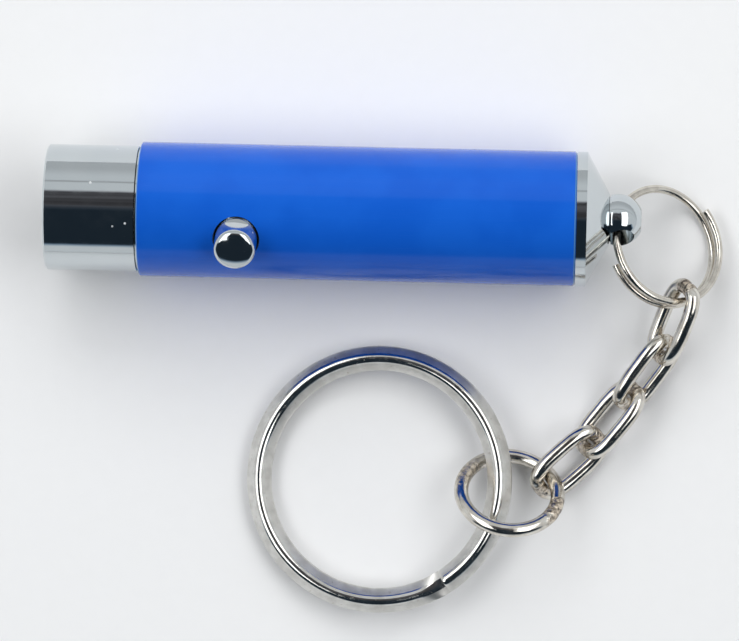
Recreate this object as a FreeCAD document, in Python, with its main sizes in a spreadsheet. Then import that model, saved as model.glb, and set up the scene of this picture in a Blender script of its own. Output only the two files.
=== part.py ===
"""Keychain flashlight: a button-cell torch in a lacquered tube, on a short chain with a split key ring.

Row frame, millimetres: the origin is on the tube's axis at the nose's front rim, +X runs along the axis to
the tail, +Z is up. The tube lies along X with the chain and rings laid out beside it on the -Y side.
"""

import FreeCAD, Part
import math
import os

import Sketcher
from FreeCAD import Placement, Rotation, Vector

# Driving dimensions: alias, value (mm, degrees or a count), meaning.
SIZES = [
    ("tube_diameter", 12.7, "outside of the lacquered tube"),
    ("tube_wall", 0.35, "wall of the lacquered tube"),
    ("tube_length", 41.0, "length of the lacquered tube"),
    ("tube_edge", 0.12, "bevel on the tube's cut ends"),
    ("nose_length", 8.8, "part of the shell that stands out of the tube"),
    ("shell_diameter", 11.9, "outside of the chromed shell"),
    ("shell_length", 24.6, "whole length of the shell"),
    ("shell_bore", 10.7, "rear bore of the shell"),
    ("shell_edge", 0.15, "bevel on the nose's front rim"),
    ("glue_groove_lead", 0.15, "how far the glue groove starts in front of the tube"),
    ("glue_groove_width", 0.85, "glue groove round the shell under the tube's edge"),
    ("glue_groove_depth", 0.2, "glue groove"),
    ("glue_groove_edge", 0.1, "bevel in front of the glue groove"),
    ("lip_bore", 10.5, "opening in the nose's front"),
    ("lip_depth", 0.6, "straight part of the front opening"),
    ("web_front", 6.4, "where the reflector cone ends"),
    ("web_back", 8.6, "back of the web that holds the diode"),
    ("web_bore", 5.16, "hole for the diode's body"),
    ("led_diameter", 5.0, "diode body"),
    ("led_tip", 1.0, "tip of the diode's dome"),
    ("led_flange", 5.8, "diode flange diameter"),
    ("led_flange_height", 1.0, "diode flange thickness"),
    ("lead_pitch", 2.54, "distance between the diode's legs"),
    ("lead_wire", 0.5, "diode leg diameter"),
    ("lead_length", 3.6, "length of the diode's legs"),
    ("holder_diameter", 10.6, "diode holder"),
    ("holder_length", 3.0, "diode holder"),
    ("holder_recess", 5.9, "recess for the diode's flange"),
    ("lead_hole", 0.66, "hole for each leg"),
    ("board_width", 9.8, "circuit board"),
    ("board_thickness", 1.0, "circuit board"),
    ("board_top", -0.42, "board's upper face, measured from the axis towards the button"),
    ("terminal_hole", 0.9, "board holes for the switch legs"),
    ("seat_gap", 0.02, "room between inner pieces that rest on each other"),
    ("resistor_length", 2.0, "surface-mounted resistor"),
    ("resistor_width", 1.25, "surface-mounted resistor"),
    ("resistor_height", 0.55, "surface-mounted resistor"),
    ("resistor_place", 15.5, "resistor's distance behind the nose rim"),
    ("switch_side", 6.0, "side of the square switch body"),
    ("switch_height", 3.3, "height of the switch body"),
    ("switch_corner", 0.4, "rounding of the switch body's corners"),
    ("plunger_diameter", 3.4, "switch plunger"),
    ("plunger_length", 2.0, "switch plunger"),
    ("plunger_proud", 0.8, "how far the plunger stands out of the switch body"),
    ("plunger_bore", 3.56, "bore for the plunger"),
    ("plunger_bore_depth", 1.7, "bore for the plunger"),
    ("terminal_width", 0.7, "switch leg"),
    ("terminal_thickness", 0.3, "switch leg"),
    ("terminal_pitch", 4.5, "distance between the legs along the axis"),
    ("terminal_length", 2.6, "switch leg"),
    ("terminal_rise", 1.0, "how far each leg reaches up the switch's side"),
    ("button_place", 18.2, "button's distance behind the nose rim"),
    ("button_tilt", 26.0, "button's direction, turned from +Z towards -Y"),
    ("button_diameter", 3.94, "button stem"),
    ("button_rim", 8.64, "where the dome starts, measured from the axis"),
    ("button_dome", 0.7, "height of the dome"),
    ("button_edge", 0.22, "rounding between stem and dome"),
    ("flange_diameter", 5.6, "button's retaining flange"),
    ("flange_top", 4.52, "upper face of the flange, measured from the axis"),
    ("flange_thickness", 0.8, "button's retaining flange"),
    ("tube_hole", 4.4, "hole in the tube for the button"),
    ("shell_hole", 4.2, "hole in the shell for the button"),
    ("disc_diameter", 10.5, "contact disc behind the board"),
    ("disc_thickness", 1.0, "contact disc"),
    ("disc_place", 23.4, "front of the contact disc"),
    ("disc_via", 1.0, "plated hole in the contact disc"),
    ("front_spring_wire", 0.4, "front spring wire"),
    ("front_spring_radius", 2.0, "front spring, to the wire's centre"),
    ("front_spring_pitch", 0.72, "front spring"),
    ("front_spring_height", 2.16, "front spring, between wire centres"),
    ("cells_start", 27.0, "front of the first cell"),
    ("cell_diameter", 11.6, "button cell"),
    ("cell_height", 5.4, "button cell"),
    ("cell_cap", 9.2, "cell's negative cap"),
    ("cell_cap_height", 0.3, "how far the cap stands proud"),
    ("cell_gasket", 10.6, "cell's sealing ring"),
    ("cell_gasket_height", 0.15, "how far the sealing ring stands proud"),
    ("cell_edge", 0.25, "rounded edge of the can, as a bevel"),
    ("sleeve_outside", 11.9, "insulating sleeve"),
    ("sleeve_inside", 11.68, "insulating sleeve"),
    ("sleeve_start", 25.0, "front of the sleeve"),
    ("sleeve_end", 44.6, "back of the sleeve"),
    ("spigot_diameter", 11.84, "cap's spigot inside the tube"),
    ("spigot_length", 4.0, "cap's spigot"),
    ("spigot_bore", 9.4, "hollow of the spigot"),
    ("spigot_floor", 0.8, "how far the hollow stops short of the tube's end"),
    ("thread_pitch", 0.75, "pitch of the cap's screw thread"),
    ("thread_depth", 0.2, "depth of the cap's thread"),
    ("thread_turns", 4, "turns of the cap's thread"),
    ("thread_valley", 0.9, "share of the pitch that the thread's valley takes"),
    ("thread_overrun", 0.05, "how far the cutting outline stands out of the spigot"),
    ("band_length", 1.05, "chrome band behind the tube"),
    ("band_edge", 0.1, "bevel on the band"),
    ("cone_length", 2.15, "cone behind the band"),
    ("cone_end", 4.8, "small end of the cone, diameter"),
    ("neck_diameter", 4.3, "groove between cone and knob"),
    ("neck_length", 0.3, "groove between cone and knob"),
    ("knob_diameter", 4.9, "ball-shaped knob"),
    ("knob_place", 53.8, "centre of the knob"),
    ("knob_end", 56.0, "flat end of the knob"),
    ("knob_edge", 0.4, "rounding of the knob's flat end"),
    ("eye_place", 54.1, "centre of the cross hole"),
    ("eye_diameter", 2.5, "cross hole in the knob"),
    ("eye_tilt", 55.0, "cross hole's direction, turned from +Z towards -Y"),
    ("tail_spring_wire", 0.5, "tail spring wire"),
    ("tail_spring_radius", 2.0, "tail spring at the cell, to the wire's centre"),
    ("tail_spring_height", 5.06, "tail spring, between wire centres"),
    ("tail_spring_pitch", 1.012, "tail spring"),
    ("tail_spring_flare", 23.5, "half angle of the tail spring's cone"),
    ("split_wire", 0.76, "small split ring's wire"),
    ("split_radius", 5.6, "small split ring, to the wire's centre"),
    ("split_pitch", 1.05, "distance between the small split ring's turns"),
    ("split_turns", 1.55, "turns of the small split ring"),
    ("link_length", 8.6, "chain link, outside"),
    ("link_width", 5.2, "chain link, outside"),
    ("link_wire", 1.4, "chain link wire"),
    ("link_seam", 2.0, "opening of the link's butt seam, degrees of its end arc"),
    ("jump_wire", 1.4, "jump ring wire"),
    ("jump_radius", 4.6, "jump ring, to the wire's centre"),
    ("jump_turn", 358.8, "jump ring's wire, up to its butt seam"),
    ("key_outside", 25.4, "key ring, outside diameter"),
    ("key_width", 2.35, "radial width of the key ring's wire"),
    ("key_coil", 1.12, "thickness of each of the key ring's two coils"),
    ("key_gap", 0.06, "gap between the key ring's coils"),
    ("key_ramp", 40.0, "arc over which the wire crosses from coil to coil"),
    ("key_cut", 1.5, "opening in front of each cut end, degrees"),
]

# How the rings and links lie: centre, then turns in degrees about X, Y and Z, made in that order.
LIES = {
    "split_ring": (Vector(58.35, -2.3, -2.4), 0.0, 36.0, 26.0),
    "chain_link_1": (Vector(59.25, -9.6, -2.1), 52.0, 18.0, -111.0),
    "chain_link_2": (Vector(56.85, -14.45, -3.65), -55.0, 8.0, -125.0),
    "chain_link_3": (Vector(53.45, -18.95, -4.1), 47.0, 4.0, -128.0),
    "chain_link_4": (Vector(49.65, -23.15, -4.35), -40.0, -2.0, -137.0),
    "jump_ring": (Vector(44.1, -26.0, -2.45), -42.5, 0.0, -6.5),
    "key_ring": (Vector(31.75, -25.1, -4.15), 0.0, -5.0, 0.0),
}
SPLIT_START = 177.0
JUMP_START = -19.0
KEY_RAMP_AT = -77.5
KEY_RAMP_STEPS = 12
KEY_SECTION_STEPS = 12
LINKS = ["chain_link_1", "chain_link_2", "chain_link_3", "chain_link_4"]

doc = FreeCAD.newDocument("KeychainFlashlight")
sheet = doc.addObject("Spreadsheet::Sheet", "Sizes")
parts = {}


class Dim:
    """A length or angle that carries its value and the expression that ties it to the sheet."""

    def __init__(self, value, text=None):
        self.value = float(value)
        self.text = text or repr(float(value))

    def join(self, other, sign, value):
        return Dim(value, f"({self.text} {sign} {other.text})")

    def __add__(self, other):
        other = as_dim(other)
        return self.join(other, "+", self.value + other.value)

    def __sub__(self, other):
        other = as_dim(other)
        return self.join(other, "-", self.value - other.value)

    def __mul__(self, other):
        other = as_dim(other)
        return self.join(other, "*", self.value * other.value)

    def __truediv__(self, other):
        other = as_dim(other)
        return self.join(other, "/", self.value / other.value)

    def __neg__(self):
        return as_dim(0) - self


def as_dim(number):
    return number if isinstance(number, Dim) else Dim(number)


def squared(dim):
    return dim * dim


def root(dim):
    return Dim(math.sqrt(dim.value), f"sqrt({dim.text})")


class Sizes:
    """Every driving dimension by its alias, as a Dim."""


def fill_sheet():
    for row, (alias, value, meaning) in enumerate(SIZES, start=1):
        sheet.set(f"A{row}", meaning)
        sheet.set(f"B{row}", str(value))
        sheet.setAlias(f"B{row}", alias)
        setattr(Sizes, alias, Dim(value, f"Sizes.{alias}"))
    doc.recompute()


fill_sheet()
S = Sizes

tube_radius = S.tube_diameter / 2
tube_inner = tube_radius - S.tube_wall
tube_end = S.nose_length + S.tube_length
shell_radius = S.shell_diameter / 2
holder_back = S.web_back + S.holder_length
lead_height = S.board_top + S.lead_wire / 2 + S.seat_gap
switch_base = S.board_top + S.seat_gap
switch_top = switch_base + S.switch_height
cells_end = S.cells_start + S.cell_height * 3
cone_start = tube_end + S.band_length
link_arc = (S.link_width - S.link_wire) / 2
link_straight = (S.link_length - S.link_width) / 2


# Building blocks


def new_body(label):
    body = doc.addObject("PartDesign::Body", label)
    body.Label = label
    parts[label] = body
    return body


def new_sketch(body, name, role, tilt=None, lift=None):
    """A sketch on one of the body's origin planes, turned about X by tilt, then lifted along its normal."""
    plane = next(f for f in body.Origin.OriginFeatures if f.Role == role)
    sketch = body.newObject("Sketcher::SketchObject", name)
    sketch.AttachmentSupport = [(plane, "")]
    sketch.MapMode = "FlatFace"
    if tilt is not None:
        sketch.AttachmentOffset = Placement(Vector(), Rotation(Vector(1, 0, 0), tilt.value))
        sketch.setExpression("AttachmentOffset.Rotation.Angle", tilt.text)
    if lift is not None:
        sketch.setExpression("AttachmentOffset.Base.z", lift.text)
    return sketch


def bind(sketch, name, constraint, dim):
    """Adds a sketch dimension and ties it to the sheet."""
    sketch.renameConstraint(sketch.addConstraint(constraint), name)
    sketch.setExpression(f"Constraints.{name}", dim.text)


def pin_point(sketch, name, geometry, point, place):
    across, up = as_dim(place[0]), as_dim(place[1])
    bind(sketch, f"{name}x", Sketcher.Constraint("DistanceX", -1, 1, geometry, point, across.value), across)
    bind(sketch, f"{name}y", Sketcher.Constraint("DistanceY", -1, 1, geometry, point, up.value), up)


def at(place):
    return Vector(as_dim(place[0]).value, as_dim(place[1]).value, 0)


def bulged_arc(start, end, radius):
    """The short arc from start to end, which bulges to the left of the way there, or right if negative."""
    chord = end - start
    side = Vector(-chord.y, chord.x, 0).normalize() * math.copysign(1, radius)
    centre = (start + end) / 2 - side * math.sqrt(radius ** 2 - (chord.Length / 2) ** 2)
    return Part.Arc(start, centre + side * abs(radius), end)


def outline(sketch, corners, prefix="p"):
    """A closed outline. A corner is (x, y), or (x, y, radius) when an arc runs from it to the next one."""
    count = len(corners)
    first = sketch.GeometryCount
    for index, corner in enumerate(corners):
        start, end = at(corner), at(corners[(index + 1) % count])
        if len(corner) == 3:
            sketch.addGeometry(bulged_arc(start, end, corner[2].value), False)
        else:
            sketch.addGeometry(Part.LineSegment(start, end), False)
    ends = [end_points(sketch, first + index, at(corner)) for index, corner in enumerate(corners)]
    for index, corner in enumerate(corners):
        follower = (index + 1) % count
        here, there = first + index, first + follower
        sketch.addConstraint(Sketcher.Constraint("Coincident", here, ends[index][1], there, ends[follower][0]))
        pin_point(sketch, f"{prefix}{index}", here, ends[index][0], corner)
        if len(corner) == 3:
            radius = corner[2] if corner[2].value > 0 else -corner[2]
            bind(sketch, f"{prefix}{index}r", Sketcher.Constraint("Radius", here, radius.value), radius)


def end_points(sketch, geometry, start):
    """Sketcher's numbers of the start and end of an edge: an arc drawn clockwise has them swapped."""
    swapped = sketch.getPoint(geometry, 1).distanceToPoint(start) > 1e-6
    return (2, 1) if swapped else (1, 2)


def circle(sketch, name, centre, diameter):
    geometry = sketch.addGeometry(Part.Circle(at(centre), Vector(0, 0, 1), diameter.value / 2), False)
    pin_point(sketch, name, geometry, 3, centre)
    bind(sketch, f"{name}d", Sketcher.Constraint("Diameter", geometry, diameter.value), diameter)


def rectangle(sketch, name, centre, length, width):
    x, y = as_dim(centre[0]), as_dim(centre[1])
    half_length, half_width = length / 2, width / 2
    corners = [
        (x - half_length, y - half_width),
        (x + half_length, y - half_width),
        (x + half_length, y + half_width),
        (x - half_length, y + half_width),
    ]
    outline(sketch, corners, name)


def feature(body, kind, name, profile, **settings):
    made = body.newObject(kind, name)
    made.Profile = profile
    for key, value in settings.items():
        if isinstance(value, Dim):
            setattr(made, key, value.value)
            made.setExpression(key, value.text)
        else:
            setattr(made, key, value)
    return made


def turned(label, corners):
    """A piece turned about the X axis. Corners are (place along X, radius)."""
    body = new_body(label)
    profile = new_sketch(body, f"{label}_profile", "XY_Plane")
    outline(profile, corners)
    feature(body, "PartDesign::Revolution", f"{label}_turned", profile, ReferenceAxis=(profile, ["H_Axis"]))
    return body


def cut(body, kind, name, profile, **settings):
    """Makes a cutting feature and checks that it took material away."""
    doc.recompute()
    before = body.Shape.Volume
    made = feature(body, kind, name, profile, **settings)
    doc.recompute()
    if body.Shape.Volume > before - 1e-4:
        raise RuntimeError(f"{name} cut nothing")
    return made


def side_hole(body, name, place, tilt, diameter):
    """A round hole from the axis outwards, square to X, on the side that tilt gives."""
    hole = new_sketch(body, f"{name}_outline", "XY_Plane", tilt)
    circle(hole, "hole", (place, 0), diameter)
    cut(body, "PartDesign::Pocket", name, hole, Length=S.tube_diameter, Reversed=True)


def round_edges(body, name, radius, chosen):
    """Rounds the edges of the body that chosen picks."""
    doc.recompute()
    base = body.Tip
    names = [f"Edge{i}" for i, edge in enumerate(base.Shape.Edges, start=1) if chosen(edge)]
    fillet = body.newObject("PartDesign::Fillet", name)
    fillet.Base = (base, names)
    fillet.Radius = radius.value
    fillet.setExpression("Radius", radius.text)


def lie(label):
    """The placement of a ring or link as it lies beside the tube."""
    centre, about_x, about_y, about_z = LIES[label]
    turn = Rotation(Vector(0, 0, 1), about_z) * Rotation(Vector(0, 1, 0), about_y)
    return Placement(centre, turn * Rotation(Vector(1, 0, 0), about_x))


def beside_button(along=0.0, up=0.0):
    """A placement whose Z points the way of the button, at a distance along X and up from the axis."""
    turn = Rotation(Vector(1, 0, 0), S.button_tilt.value)
    return Placement(Vector(along, 0, 0) + turn.multVec(Vector(0, 0, up)), turn)


# The tube, the shell and what the shell holds


def make_body_tube():
    front, back, edge = S.nose_length, tube_end, S.tube_edge
    body = turned(
        "body_tube",
        [
            (front, tube_inner),
            (front, tube_radius - edge),
            (front + edge, tube_radius),
            (back - edge, tube_radius),
            (back, tube_radius - edge),
            (back, tube_inner),
        ],
    )
    side_hole(body, "tube_button_hole", S.button_place, S.button_tilt, S.tube_hole)


def make_nose_shell():
    lip, bore, web = S.lip_bore / 2, S.shell_bore / 2, S.web_bore / 2
    groove_front = S.nose_length - S.glue_groove_lead
    groove_back = groove_front + S.glue_groove_width
    groove_floor = shell_radius - S.glue_groove_depth
    body = turned(
        "nose_shell",
        [
            (0, lip),
            (0, shell_radius - S.shell_edge),
            (S.shell_edge, shell_radius),
            (groove_front - S.glue_groove_edge, shell_radius),
            (groove_front, shell_radius - S.glue_groove_edge),
            (groove_front, groove_floor),
            (groove_back, groove_floor),
            (groove_back, shell_radius),
            (S.shell_length, shell_radius),
            (S.shell_length, bore),
            (S.web_back, bore),
            (S.web_back, web),
            (S.web_front, web),
            (S.lip_depth, lip),
        ],
    )
    side_hole(body, "shell_button_hole", S.button_place, S.button_tilt, S.shell_hole)


def make_led():
    radius, flange = S.led_diameter / 2, S.led_flange / 2
    back = S.web_back + S.led_flange_height
    turned(
        "led_bulb",
        [
            (S.led_tip, 0, radius),
            (S.led_tip + radius, radius),
            (S.web_back, radius),
            (S.web_back, flange),
            (back, flange),
            (back, 0),
        ],
    )
    leads = new_body("led_leads")
    legs = new_sketch(leads, "leg_sections", "YZ_Plane")
    for name, side in (("near", -1), ("far", 1)):
        circle(legs, name, (S.lead_pitch * (side / 2), 0), S.lead_wire)
    feature(leads, "PartDesign::Pad", "legs", legs, Length=S.lead_length)
    leads.Placement = beside_button(back.value, lead_height.value)


def make_led_holder():
    recess = S.holder_recess / 2
    floor = S.web_back + S.led_flange_height
    body = turned(
        "led_holder",
        [
            (S.web_back, recess),
            (S.web_back, S.holder_diameter / 2),
            (holder_back, S.holder_diameter / 2),
            (holder_back, 0),
            (floor, 0),
            (floor, recess),
        ],
    )
    holes = new_sketch(body, "leg_holes", "YZ_Plane")
    turn = math.radians(S.button_tilt.value)
    for name, side in (("near", -1), ("far", 1)):
        reach = side * S.lead_pitch.value / 2
        across = reach * math.cos(turn) - lead_height.value * math.sin(turn)
        up = reach * math.sin(turn) + lead_height.value * math.cos(turn)
        circle(holes, name, (across, up), S.lead_hole)
    cut(body, "PartDesign::Pocket", "leg_passages", holes, Length=holder_back + 1, Reversed=True)


def make_circuit_board():
    body = new_body("circuit_board")
    board = new_sketch(body, "board_outline", "XY_Plane")
    length = S.disc_place - holder_back
    rectangle(board, "board", (holder_back + length / 2, 0), length, S.board_width)
    for index, (x, y) in enumerate(terminal_places()):
        circle(board, f"via{index}", (S.button_place + x, y), S.terminal_hole)
    feature(body, "PartDesign::Pad", "board", board, Length=S.board_thickness)
    body.Placement = beside_button(0, (S.board_top - S.board_thickness).value)


def terminal_places():
    """Where the switch's four legs stand, from the switch's centre."""
    x, y = S.terminal_pitch / 2, (S.switch_side + S.terminal_thickness) / 2
    return [(x, y), (-x, y), (-x, -y), (x, -y)]


def make_resistor():
    block = doc.addObject("Part::Box", "resistor")
    block.Label = "resistor"
    for side, dim in (("Length", S.resistor_length), ("Width", S.resistor_width), ("Height", S.resistor_height)):
        block.setExpression(side, dim.text)
    under = (S.board_top - S.board_thickness - S.resistor_height).value
    across = Vector(-S.resistor_length.value / 2, -S.resistor_width.value / 2, 0)
    block.Placement = beside_button(S.resistor_place.value, under) * Placement(across, Rotation())
    parts["resistor"] = block


def make_switch():
    body = new_body("switch_body")
    square = new_sketch(body, "switch_outline", "XY_Plane")
    rectangle(square, "side", (0, 0), S.switch_side, S.switch_side)
    feature(body, "PartDesign::Pad", "switch_block", square, Length=S.switch_height)
    round_edges(body, "switch_corners", S.switch_corner, is_upright)
    bore = new_sketch(body, "plunger_bore", "XY_Plane", lift=S.switch_height)
    circle(bore, "bore", (0, 0), S.plunger_bore)
    cut(body, "PartDesign::Pocket", "plunger_socket", bore, Length=S.plunger_bore_depth)
    body.Placement = beside_button(S.button_place.value, switch_base.value)

    plunger = new_body("switch_plunger")
    section = new_sketch(plunger, "plunger_section", "XY_Plane")
    circle(section, "plunger", (0, 0), S.plunger_diameter)
    feature(plunger, "PartDesign::Pad", "plunger", section, Length=S.plunger_length)
    low = switch_top + S.plunger_proud - S.plunger_length
    plunger.Placement = beside_button(S.button_place.value, low.value)

    terminals = new_body("switch_terminals")
    legs = new_sketch(terminals, "terminal_sections", "XY_Plane")
    for index, place in enumerate(terminal_places()):
        rectangle(legs, f"leg{index}_", place, S.terminal_width, S.terminal_thickness)
    feature(terminals, "PartDesign::Pad", "terminals", legs, Length=S.terminal_length)
    low = switch_base + S.terminal_rise - S.terminal_length
    terminals.Placement = beside_button(S.button_place.value, low.value)


def is_upright(edge):
    return edge.Curve.TypeId == "Part::GeomLine" and abs(edge.tangentAt(edge.FirstParameter).z) > 0.99


def make_push_button():
    stem, flange = S.button_diameter / 2, S.flange_diameter / 2
    bottom = S.flange_top - S.flange_thickness
    dome_radius = (squared(stem) + squared(S.button_dome)) / (S.button_dome * 2)
    body = new_body("push_button")
    profile = new_sketch(body, "button_profile", "XZ_Plane")
    outline(
        profile,
        [
            (0, S.button_rim + S.button_dome),
            (0, bottom),
            (flange, bottom),
            (flange, S.flange_top),
            (stem, S.flange_top),
            (stem, S.button_rim, -dome_radius),
        ],
    )
    feature(body, "PartDesign::Revolution", "button_turned", profile, ReferenceAxis=(profile, ["V_Axis"]))
    round_edges(body, "button_shoulder", S.button_edge, is_dome_rim)
    body.Placement = beside_button(S.button_place.value)


def is_dome_rim(edge):
    box = edge.BoundBox
    return box.ZLength < 1e-4 and abs(box.ZMin - S.button_rim.value) < 1e-4


def make_contact_disc():
    back = S.disc_place + S.disc_thickness
    turned(
        "contact_disc",
        [
            (S.disc_place, S.disc_via / 2),
            (S.disc_place, S.disc_diameter / 2),
            (back, S.disc_diameter / 2),
            (back, S.disc_via / 2),
        ],
    )


def coil(label, wire, radius, **turns):
    """A coil spring or wire ring wound round its own Z axis, from Z = 0 upwards."""
    body = new_body(label)
    section = new_sketch(body, f"{label}_section", "XZ_Plane")
    circle(section, "wire", (radius, 0), wire)
    feature(body, "PartDesign::AdditiveHelix", f"{label}_coil", section, ReferenceAxis=(section, ["V_Axis"]), **turns)
    return body


def make_springs():
    towards_tail = Rotation(Vector(0, 1, 0), 90)
    front = coil(
        "front_spring",
        S.front_spring_wire,
        S.front_spring_radius,
        Mode="pitch-height-angle",
        Pitch=S.front_spring_pitch,
        Height=S.front_spring_height,
    )
    start = S.disc_place + S.disc_thickness + S.front_spring_wire / 2 + S.seat_gap
    front.Placement = Placement(Vector(start.value, 0, 0), towards_tail)
    tail = coil(
        "tail_spring",
        S.tail_spring_wire,
        S.tail_spring_radius,
        Mode="pitch-height-angle",
        Pitch=S.tail_spring_pitch,
        Height=S.tail_spring_height,
        Angle=S.tail_spring_flare,
    )
    start = cells_end + S.tail_spring_wire / 2 + S.seat_gap
    tail.Placement = Placement(Vector(start.value, 0, 0), towards_tail)


def make_cells():
    can, cap, gasket = S.cell_diameter / 2, S.cell_cap / 2, S.cell_gasket / 2
    for number in range(3):
        front = S.cells_start + S.cell_height * number
        back = front + S.cell_height
        can_back = back - S.cell_cap_height
        turned(
            f"battery_cell_{number + 1}",
            [
                (front, 0),
                (front, can - S.cell_edge),
                (front + S.cell_edge, can),
                (can_back - S.cell_gasket_height, can),
                (can_back - S.cell_gasket_height, gasket),
                (can_back, gasket),
                (can_back, cap),
                (back, cap),
                (back, 0),
            ],
        )


def make_battery_sleeve():
    inside, outside = S.sleeve_inside / 2, S.sleeve_outside / 2
    turned(
        "battery_sleeve",
        [
            (S.sleeve_start, inside),
            (S.sleeve_start, outside),
            (S.sleeve_end, outside),
            (S.sleeve_end, inside),
        ],
    )


# The screw-off tail cap


def make_tail_cap():
    spigot, bore, cone_end = S.spigot_diameter / 2, S.spigot_bore / 2, S.cone_end / 2
    front, neck_start = tube_end - S.spigot_length, cone_start + S.cone_length
    body = turned(
        "tail_cap",
        [
            (front, bore),
            (front, spigot),
            (tube_end, spigot),
            (tube_end, tube_radius - S.band_edge),
            (tube_end + S.band_edge, tube_radius),
            (cone_start, tube_radius),
            (neck_start, cone_end),
            (neck_start, S.neck_diameter / 2),
            (neck_start + S.neck_length, S.neck_diameter / 2),
            (neck_start + S.neck_length, 0),
            (tube_end - S.spigot_floor, 0),
            (tube_end - S.spigot_floor, bore),
        ],
    )
    add_knob(body)
    cut_thread(body, front, spigot)
    eye = new_sketch(body, "eye_outline", "XY_Plane", S.eye_tilt)
    circle(eye, "eye", (S.eye_place, 0), S.eye_diameter)
    cut(body, "PartDesign::Pocket", "eye", eye, Length=S.knob_diameter * 2, Midplane=True)


def add_knob(body):
    """The ball, turned on the cap's end and faced off flat with a rounded rim."""
    ball, rim = S.knob_diameter / 2, S.knob_edge
    start = cone_start + S.cone_length + S.neck_length / 2
    rim_place = S.knob_end - rim
    rim_reach = rim_place - S.knob_place
    rim_height = root(squared(ball - rim) - squared(rim_reach))
    outwards = ball / (ball - rim)
    profile = new_sketch(body, "knob_profile", "XY_Plane")
    outline(
        profile,
        [
            (start, 0),
            (S.knob_end, 0),
            (S.knob_end, rim_height, -rim),
            (S.knob_place + rim_reach * outwards, rim_height * outwards, -ball),
            (start, root(squared(ball) - squared(start - S.knob_place))),
        ],
    )
    feature(body, "PartDesign::Revolution", "knob", profile, ReferenceAxis=(profile, ["H_Axis"]))


def cut_thread(body, front, spigot):
    """The thread's valleys, as grooves one pitch apart."""
    start, width = front + S.thread_pitch / 2, S.thread_pitch * S.thread_valley
    rim = spigot + S.thread_overrun
    valley = new_sketch(body, "thread_valley", "XY_Plane")
    outline(valley, [(start, rim), (start + width / 2, spigot - S.thread_depth), (start + width, rim)])
    groove = cut(body, "PartDesign::Groove", "thread", valley, ReferenceAxis=(valley, ["H_Axis"]))
    turns = body.newObject("PartDesign::LinearPattern", "thread_turns")
    turns.Originals = [groove]
    turns.Direction = (valley, ["H_Axis"])
    turns.setExpression("Length", (S.thread_pitch * (S.thread_turns - 1)).text)
    turns.setExpression("Occurrences", S.thread_turns.text)
    body.Tip = turns


# The rings and the chain


def make_split_ring():
    body = coil(
        "split_ring",
        S.split_wire,
        S.split_radius,
        Mode="pitch-turns-angle",
        Pitch=S.split_pitch,
        Turns=S.split_turns,
    )
    middle = Vector(0, 0, -(S.split_pitch * S.split_turns).value / 2)
    body.Placement = lie("split_ring") * Placement(middle, Rotation(Vector(0, 0, 1), SPLIT_START))


def make_chain_link(label):
    """An oval of round wire whose ends meet in a butt seam at the link's -X end."""
    body = new_body(label)
    path = new_sketch(body, f"{label}_path", "XY_Plane")
    radius, half = link_arc.value, link_straight.value
    seam = math.radians(S.link_seam.value)
    near = Part.Circle(Vector(-half, 0, 0), Vector(0, 0, 1), radius)
    far = Part.Circle(Vector(half, 0, 0), Vector(0, 0, 1), radius)
    path.addGeometry(
        [
            Part.ArcOfCircle(near, math.pi / 2, math.pi),
            Part.LineSegment(Vector(-half, radius, 0), Vector(half, radius, 0)),
            Part.ArcOfCircle(far, -math.pi / 2, math.pi / 2),
            Part.LineSegment(Vector(half, -radius, 0), Vector(-half, -radius, 0)),
            Part.ArcOfCircle(near, math.pi + seam, 1.5 * math.pi),
        ],
        False,
    )
    section = new_sketch(body, f"{label}_section", "XZ_Plane")
    circle(section, "wire", (-link_straight - link_arc, 0), S.link_wire)
    feature(body, "PartDesign::AdditivePipe", f"{label}_wire", section, Spine=path)
    body.Placement = lie(label)


def make_jump_ring():
    body = new_body("jump_ring")
    section = new_sketch(body, "jump_section", "XZ_Plane")
    circle(section, "wire", (S.jump_radius, 0), S.jump_wire)
    axis = (section, ["V_Axis"])
    feature(body, "PartDesign::Revolution", "jump_wire", section, ReferenceAxis=axis, Angle=S.jump_turn)
    body.Placement = lie("jump_ring") * Placement(Vector(), Rotation(Vector(0, 0, 1), JUMP_START))


def key_section(share, angle):
    """The key ring's wire at an angle. Share is 0 in the lower coil, 1 in the upper and between in the ramp."""
    half, thick, gap = S.key_width.value / 2, S.key_coil.value, S.key_gap.value
    middle = S.key_outside.value / 2 - half
    chord = gap * (share - 0.5)
    turn = Rotation(Vector(0, 0, 1), angle)

    def edge(height):
        points = []
        for step in range(KEY_SECTION_STEPS + 1):
            around = math.pi * step / KEY_SECTION_STEPS
            out = middle + half * math.cos(around)
            points.append(turn.multVec(Vector(out, 0, chord + height * math.sin(around))))
        curve = Part.BSplineCurve()
        curve.interpolate(points)
        return curve.toShape()

    return Part.Wire([edge(share * thick), edge((share - 1) * thick)])


def key_sector(share, start, end):
    """A stretch of one coil, from one angle to another."""
    face = Part.Face(key_section(share, start))
    return face.revolve(Vector(), Vector(0, 0, 1), end - start)


def make_key_ring():
    """Two half-round coils that rest on each other, with a ramp where the wire crosses between them."""
    half_ramp, cut_gap = S.key_ramp.value / 2, S.key_cut.value
    sections = []
    for step in range(KEY_RAMP_STEPS + 1):
        along = step / KEY_RAMP_STEPS
        share = along * along * (3 - 2 * along)
        sections.append(key_section(share, half_ramp - along * 2 * half_ramp))
    ramp = Part.makeLoft(sections, True)
    lower = key_sector(0, half_ramp, 360 - half_ramp - cut_gap)
    upper = key_sector(1, half_ramp + cut_gap, 360 - half_ramp)
    ring = doc.addObject("Part::Feature", "key_ring")
    ring.Label = "key_ring"
    ring.Shape = lower.multiFuse([ramp, upper]).removeSplitter()
    ring.Placement = lie("key_ring") * Placement(Vector(), Rotation(Vector(0, 0, 1), KEY_RAMP_AT))
    parts["key_ring"] = ring


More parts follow.
